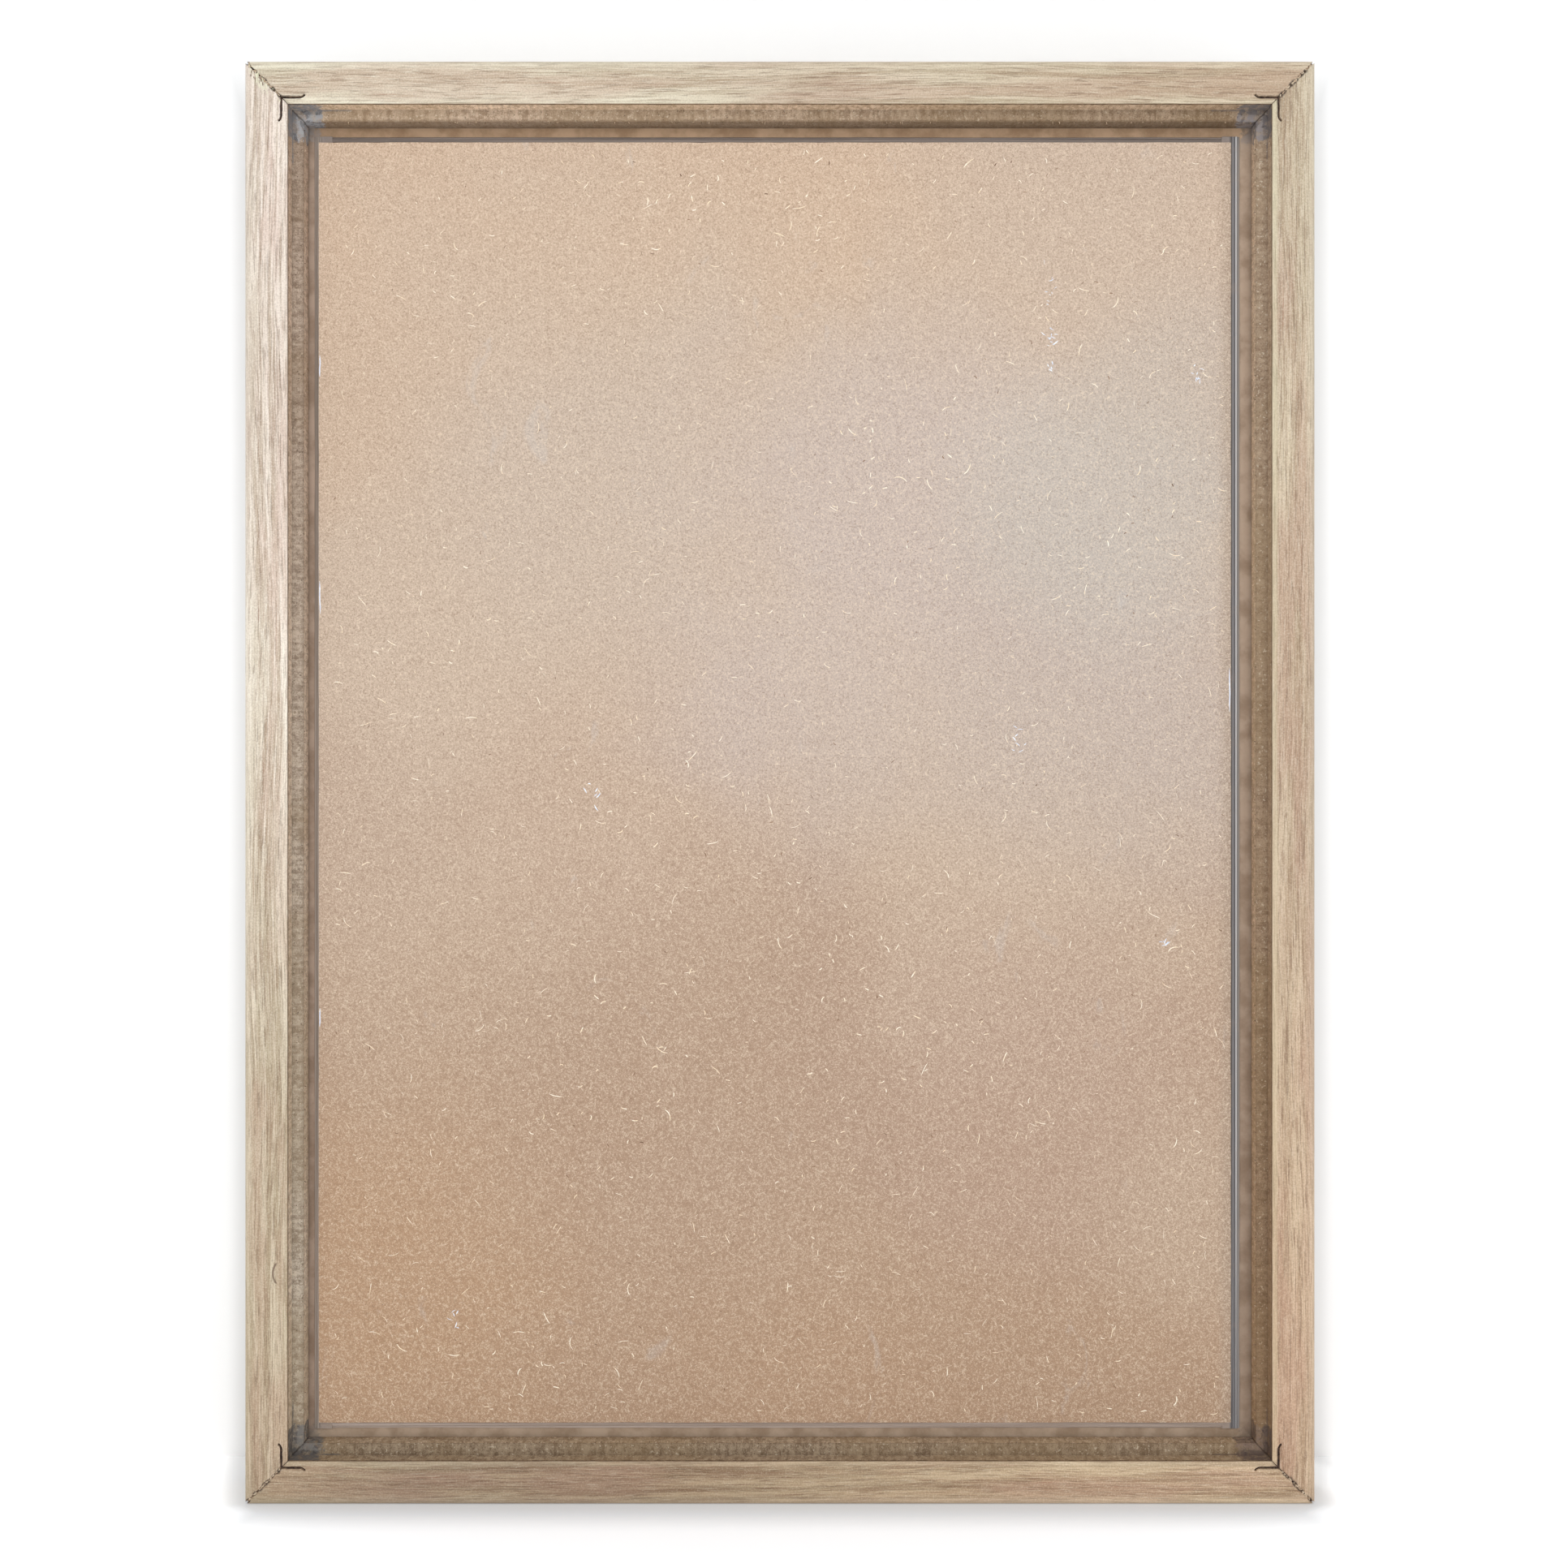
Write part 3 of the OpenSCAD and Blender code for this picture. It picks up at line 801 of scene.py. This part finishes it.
def build_tape(body, side):
    """One strip round the board: a foam core with ridges where its layers stop."""
    node = "board_tape_" + side
    low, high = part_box(node)
    upright = side in ("left", "right")
    outward = {"top": 1, "right": 1, "bottom": -1, "left": -1}[side]
    start, end = (low.z, high.z) if upright else (low.x, high.x)
    inner, outer = (low.x, high.x) if upright else (low.z, high.z)
    if outward < 0:
        inner, outer = outer, inner
    front, back = high.y, low.y
    thick = front - back
    # Steps of the section, from the outer edge inwards: distance in, share of the thickness.
    section = [(0.0, 0.0), (0.0, 0.45), (0.15 * MM, 0.62), (0.55 * MM, 0.66), (0.75 * MM, 0.92),
               (1.05 * MM, 1.0), (1.45 * MM, 1.0), (1.6 * MM, 0.8), (1.95 * MM, 0.8),
               (2.1 * MM, 0.97), (abs(outer - inner), 0.97), (abs(outer - inner), 0.0)]
    steps = max(8, round((end - start) / (3 * MM)))
    bm = bmesh.new()
    rings = []
    for k in range(steps + 1):
        along = start + (end - start) * k / steps
        waver = abs(noise.noise(Vector((along * 30, 0.7, 2.1 * outward)))) * 0.16 * MM
        ring = []
        for inset, share in section:
            across = outer - outward * min(inset + waver, abs(outer - inner))
            y = front - thick * share
            ring.append(bm.verts.new((across, y, along) if upright else (along, y, across)))
        rings.append(ring)
    count = len(section)
    for a, b in zip(rings, rings[1:]):
        for k in range(count):
            bm.faces.new((a[k], a[(k + 1) % count], b[(k + 1) % count], b[k]))
    bm.faces.new(rings[0])
    bm.faces.new(rings[-1])
    along_axis = "z" if upright else "x"
    # Each side's strip gets its own tones of one grey tape: painted light and shade, lightest at the
    # bottom, with a bluer painted reflection on the right.
    tones = {"top": (srgb(153, 140, 132), srgb(124, 112, 104)),
             "bottom": (srgb(207, 192, 182), srgb(177, 160, 148)),
             "left": (srgb(170, 157, 147), srgb(145, 133, 122)),
             "right": (srgb(140, 140, 144), srgb(96, 94, 96))}
    ends = (tones["top"][0], tones["bottom"][1]) if upright else None
    board_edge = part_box("backing_board")[1].x
    bands = ()
    if side == "right":
        bands = [(board_edge + place * MM, shade) for place, shade in RIGHT_PAINTED_LIGHT_BANDS]
    material = foam_tape("foam_tape_" + side, *tones[side], along_axis, bands, ends)
    piece = make_object(node + "_mesh", bm, [material])
    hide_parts(node)
    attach(piece, body)


def build_splinters(body):
    """Torn oak fibres that lie over the open mitres, most of them at the upper left corner."""
    draw = random.Random(SEED + 4)
    bm = bmesh.new()
    for sign_x, sign_z in ((-1, 1), (1, 1), (-1, -1), (1, -1)):
        torn = (sign_x, sign_z) == (-1, 1)
        for k in range(46 if torn else 26):
            inset = draw.uniform(0.9, 9.4) * MM
            spread = draw.uniform(-0.25, 0.25) * MM
            if torn and k % 2:
                spread = draw.uniform(0.0, 1.9) * MM
            upright = draw.random() < (0.8 if torn and k % 2 else 0.5)
            length = draw.uniform(0.5, 1.5 if not torn else 2.4) * MM
            x = sign_x * (HALF_W - inset)
            z = sign_z * (HALF_H - inset - spread)
            lean = draw.uniform(-0.12, 0.12)
            angle = (math.pi / 2 if upright else 0) + lean
            start = Vector((x - math.cos(angle) * length / 2, BACK_Y + 0.06 * MM,
                            z - math.sin(angle) * length / 2))
            points = curl(start, angle, length, draw.uniform(-0.3, 0.3), 5)
            tube(bm, points, draw.uniform(0.10, 0.24) * MM, 1 if torn and k % 2 else 0, 0.2)
    oak_fibre = flat_tone("torn_oak", srgb(214, 196, 170), srgb(176, 150, 124), 900)
    pale_fibre = flat_tone("torn_oak_pale", srgb(236, 230, 200), srgb(206, 204, 172), 900)
    piece = make_object("torn_mitre_fibres", bm, [oak_fibre, pale_fibre])
    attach(piece, body)


def build_foot_fibres(body):
    """Short fibres raised by the saw on the raw foot, and a fringe along its inner edge."""
    draw = random.Random(SEED + 9)
    bm = bmesh.new()
    for side in SIDES:
        upright = side in ("left", "right")
        sign = 1 if side in ("top", "right") else -1
        half, half_along = (HALF_W, HALF_H) if upright else (HALF_H, HALF_W)
        for k in range(round(half_along / (0.5 * MM))):
            fringe = k % 3 == 0
            inset = FOOT_EDGE
            if not fringe:
                inset = draw.uniform(BACK_FACE + 0.4 * MM, FOOT_EDGE - 0.2 * MM)
            place = draw.uniform(-1, 1) * (half_along - inset - MM)
            length = draw.uniform(0.3, 0.8 if fringe else 1.3) * MM
            across = sign * (half - inset)
            start = Vector((across, LEDGE_Y + SUNK, place) if upright else
                           (place, LEDGE_Y + SUNK, across))
            inward = (math.pi if sign > 0 else 0) if upright else -sign * math.pi / 2
            angle = inward + draw.uniform(-0.7, 0.7) if fringe else draw.uniform(0, 2 * math.pi)
            points = curl(start, angle, length, draw.uniform(-1.0, 1.0), 4)
            tube(bm, points, draw.uniform(0.05, 0.10) * MM, 1 if draw.random() < 0.4 else 0, 0.3)
    pale = flat_tone("raw_fibre", srgb(196, 172, 146), srgb(158, 134, 110), 900)
    dark = flat_tone("raw_fibre_dark", srgb(132, 108, 86), srgb(104, 84, 66), 900)
    piece = make_object("raw_foot_fibres", bm, [pale, dark])
    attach(piece, body)


def dress_cad_nodes():
    """Gives the CAD nodes that stay their materials."""
    oak_tones = {
        "top": (srgb(228, 213, 192), srgb(184, 163, 138), (1.03, 1.09, 1.09), (0.87, 0.85, 0.79)),
        "left": (srgb(230, 215, 196), srgb(184, 164, 140), (0.86, 0.85, 0.76), (1.11, 1.13, 1.22)),
        "right": (srgb(222, 204, 180), srgb(174, 150, 124), (0.93, 0.82, 0.74), (0.94, 0.95, 0.93)),
        "bottom": (srgb(202, 180, 154), srgb(156, 132, 108), (0.72, 0.69, 0.65), (1.12, 1.06, 0.96)),
    }
    mdf_tones = {
        "top": (srgb(200, 174, 149), srgb(152, 126, 102), (1.21, 1.30, 1.38), (0.83, 0.85, 0.83)),
        "left": (srgb(204, 184, 164), srgb(150, 130, 112), (1.03, 1.13, 1.18), (0.86, 0.85, 0.86)),
        "right": (srgb(178, 152, 126), srgb(132, 106, 84), (0.82, 0.79, 0.74), (1.12, 1.23, 1.33)),
        "bottom": (srgb(168, 146, 122), srgb(120, 98, 78), (1.02, 1.08, 1.10), (1.10, 1.15, 1.17)),
    }
    for index, side in enumerate(SIDES):
        along = "x" if side in ("top", "bottom") else "z"
        offset = (1.7 * index + 0.3, 2.9 * index, 4.1 * index)
        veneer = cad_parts[side + "_rail_veneer"]
        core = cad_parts[side + "_rail_core"]
        light, dark, first, last = oak_tones[side]
        assign(veneer, oak("oak_" + side, along, light, dark, (first, last), offset, side))
        light, dark, first, last = mdf_tones[side]
        assign(core, raw_mdf("raw_mdf_" + side, along, light, dark, (first, last), offset, side))
    tape = foam_tape("foam_tape_hidden", srgb(120, 118, 114), srgb(96, 94, 92), "x")
    for side in SIDES:
        assign(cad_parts["panel_tape_" + side], tape)
    assign(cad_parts["corner_v_nails"], nail_steel())


def assign(piece, material):
    """Puts one material in every slot of a piece."""
    if not piece.data.materials:
        piece.data.materials.append(material)
    for k in range(len(piece.data.materials)):
        piece.data.materials[k] = material


# ---------------------------------------------------------------- studio

def plain(name, colour, glow, is_wall=False):
    """A matt pale surface with a soft painted shadow round the foot and the sides of the frame."""
    n = Nodes(name)
    x, y, z = n.split()
    tone = n.noise(n.evenly(3), 1, 2)
    tint = n.lay(colour, (0.9, 0.9, 0.9, 1), tone, 0.02)
    # How far a point lies outside the frame's outline as the camera sees it.
    spread = n.plus(1.0, n.times(n.minus(y, BACK_Y), 1 / CAMERA_DISTANCE))
    beside = n.minus(n.size(x), n.times(spread, HALF_W))
    if is_wall:
        above = n.minus(z, n.times(spread, HALF_H))
        clear = n.larger(n.ramp(beside, -0.5 * MM, 6 * MM), n.ramp(above, -18 * MM, 3 * MM))
        shade = n.mix(clear, (SIDE_SHADE,) * 3 + (1,), (1, 1, 1, 1))
    else:
        before = n.larger(n.minus(BACK_Y, y), 0.0)
        after = n.larger(n.minus(y, WALL_Y), 0.0)
        before = n.ramp(n.plus(before, after), 0.0, CONTACT_REACH)
        # Beside the frame the painted shadow narrows, so that it runs on into the wall's.
        strip = n.ramp(y, BACK_Y - 7 * MM, BACK_Y + MM)
        near = n.plus(n.times(strip, 8 * MM), -8 * MM)
        far = n.plus(n.times(strip, 2 * MM), 7 * MM)
        clear = n.larger(before, n.ramp(beside, near, far))
        glow = n.mix(strip, (*glow, 1), (*FLOOR_GLOW_BEHIND, 1))
        shade = n.mix(clear, (CONTACT_SHADE,) * 3 + (1,), (1, 1, 1, 1))
    material = n.surface(n.mix(1.0, tint, shade, "MULTIPLY"), 0.95, specular=0.0)
    shader = n.output.inputs["Surface"].links[0].from_node
    n.put(shader.inputs["Emission Color"], n.mix(1.0, glow, shade, "MULTIPLY"))
    shader.inputs["Emission Strength"].default_value = 1.0
    # Seen from its far side each one is clear, so that it never hides the frame.
    hidden = n.add("ShaderNodeNewGeometry").outputs["Backfacing"]
    if is_wall:
        # The wall is also clear to the light that falls on the picture side.
        side, end = n.insets()
        covered = n.math("GREATER_THAN", n.smaller(side, end), -6 * MM)
        unseen = n.minus(1.0, n.add("ShaderNodeLightPath").outputs["Is Camera Ray"])
        hidden = n.larger(hidden, n.times(covered, unseen))
    mixer = n.add("ShaderNodeMixShader")
    n.put(mixer.inputs[0], hidden)
    n.put(mixer.inputs[1], shader.outputs[0])
    n.put(mixer.inputs[2], n.add("ShaderNodeBsdfTransparent").outputs[0])
    n.put(n.output.inputs["Surface"], mixer.outputs[0])
    return material


def plane(name, corners, material):
    """A flat studio piece, which isn't part of the object."""
    bm = bmesh.new()
    bm.faces.new([bm.verts.new(c) for c in corners])
    mesh = bpy.data.meshes.new(name)
    bm.to_mesh(mesh)
    bm.free()
    mesh.materials.append(material)
    piece = bpy.data.objects.new(name, mesh)
    bpy.context.scene.collection.objects.link(piece)


def area_light(name, place, size, power):
    """A round lamp of a size and power, aimed at the middle of the frame."""
    data = bpy.data.lights.new(name, "AREA")
    data.shape = "DISK"
    data.size = size
    data.energy = power
    lamp = bpy.data.objects.new(name, data)
    lamp.location = place
    lamp.rotation_euler = (-Vector(place)).to_track_quat("-Z", "Y").to_euler()
    bpy.context.scene.collection.objects.link(lamp)


def build_studio():
    """The floor, the wall behind the frame, the surroundings and three lamps."""
    floor_z = LOW.z - 0.1 * MM
    reach = 3.0
    white = srgb(252, 252, 252)
    plane("floor", [(-reach, -reach, floor_z), (reach, -reach, floor_z),
                    (reach, reach, floor_z), (-reach, reach, floor_z)],
          plain("floor_white", white, FLOOR_GLOW))
    plane("wall", [(-reach, WALL_Y, floor_z), (reach, WALL_Y, floor_z),
                   (reach, WALL_Y, reach), (-reach, WALL_Y, reach)],
          plain("wall_white", srgb(245, 245, 245), WALL_GLOW, is_wall=True))
    world = bpy.data.worlds.new("studio")
    world.use_nodes = True
    tree = world.node_tree
    background = tree.nodes["Background"]
    background.inputs["Color"].default_value = (1, 1, 1, 1)
    seen = tree.nodes.new("ShaderNodeLightPath").outputs["Is Camera Ray"]
    strength = tree.nodes.new("ShaderNodeMapRange")
    strength.inputs["To Min"].default_value = WORLD_LIGHT
    strength.inputs["To Max"].default_value = WORLD_SEEN
    tree.links.new(seen, strength.inputs["Value"])
    tree.links.new(strength.outputs[0], background.inputs["Strength"])
    bpy.context.scene.world = world
    area_light("key", (0.05, -1.5, 0.8), 1.4, 11.2)
    area_light("top", (-0.05, -0.2, 1.6), 0.8, 2.6)
    area_light("picture_side", (-0.7, 1.3, 1.0), 1.0, 13)
    bpy.context.scene.view_settings.view_transform = "Standard"
    bpy.context.scene.view_settings.look = "None"


def build_camera():
    """Straight on to the back, at the height of the frame's middle."""
    seen_width = 420.3 * MM              # how much the view takes in at the back face
    data = bpy.data.cameras.new("camera")
    data.sensor_width = 36
    data.lens = data.sensor_width * CAMERA_DISTANCE / seen_width
    data.clip_start = 0.01
    camera = bpy.data.objects.new("camera", data)
    camera.location = (1.1 * MM, BACK_Y - CAMERA_DISTANCE, -0.4 * MM)
    camera.rotation_euler = (math.radians(90), 0, 0)
    bpy.context.scene.collection.objects.link(camera)
    bpy.context.scene.camera = camera


# ---------------------------------------------------------------- the whole object

BODY = "root"
dress_cad_nodes()
build_board(BODY)
build_panel(BODY)
build_sheet(BODY)
for tape_side in SIDES:
    build_tape(BODY, tape_side)
build_splinters(BODY)
build_foot_fibres(BODY)
build_studio()
build_camera()
